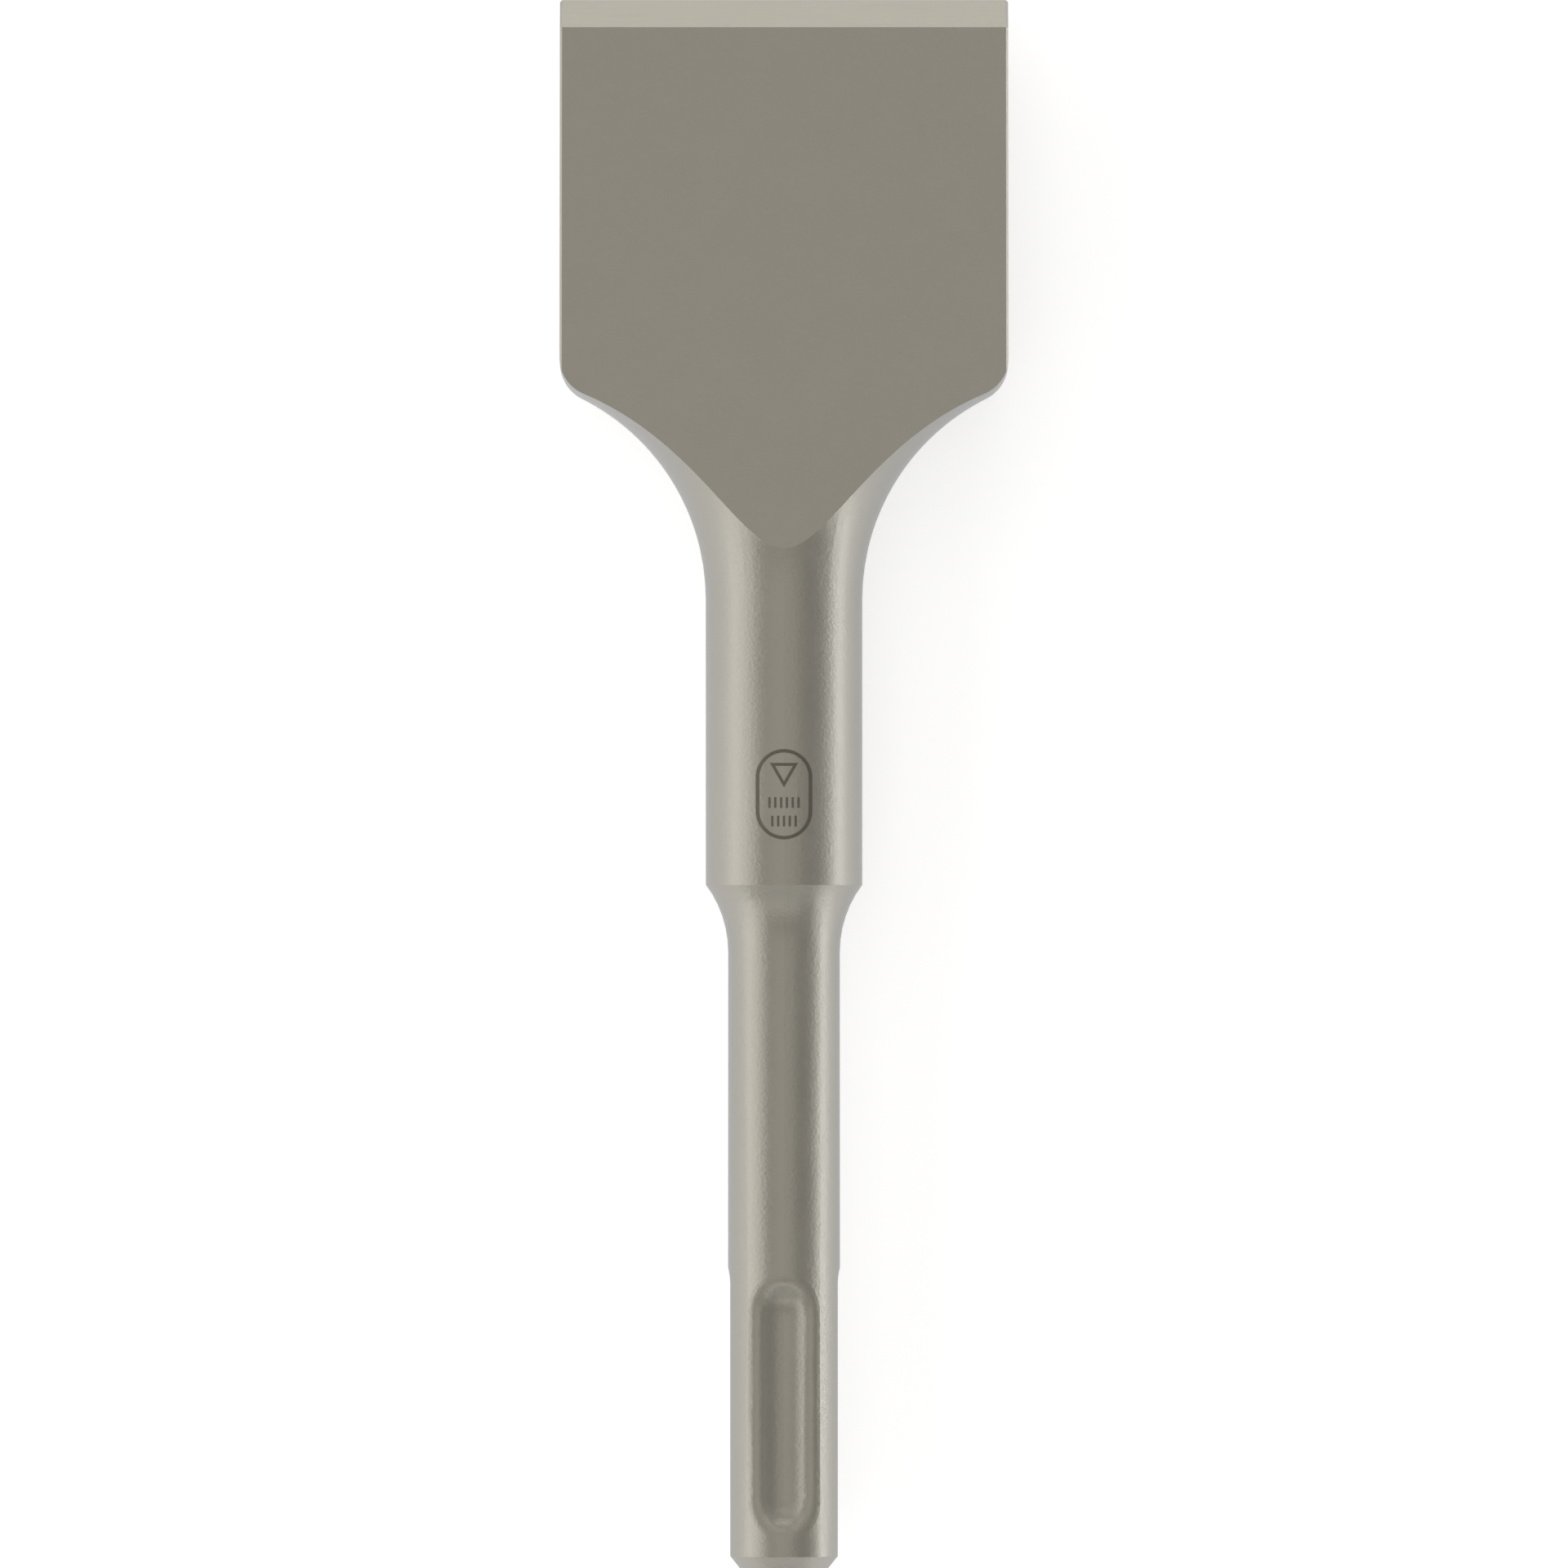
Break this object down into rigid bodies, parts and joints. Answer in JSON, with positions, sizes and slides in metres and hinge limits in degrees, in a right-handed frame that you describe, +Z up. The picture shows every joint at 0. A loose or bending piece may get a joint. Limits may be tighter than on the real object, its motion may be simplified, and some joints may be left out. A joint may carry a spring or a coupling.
{
  "type": "flat chisel bit",
  "caption": "Flat chisel bit for a rotary hammer: wide tapered blade with a ground cutting edge, flared round shaft and slotted round shank.",
  "frame": {"origin": "centre of the flat struck end of the shank, on the tool's axis", "axes": "+Y along the tool from the struck end to the cutting edge, X across the width of the blade, +Z up through its thickness; the tool lies flat"},
  "size_m": [0.04, 0.14, 0.015],
  "materials": {
    "tool_steel": "forged and blasted to a fine satin, bright ground bevel along the cutting edge"
  },
  "bodies": {
    "root": {"flat_chisel": "tool_steel"}
  },
  "joints": []
}
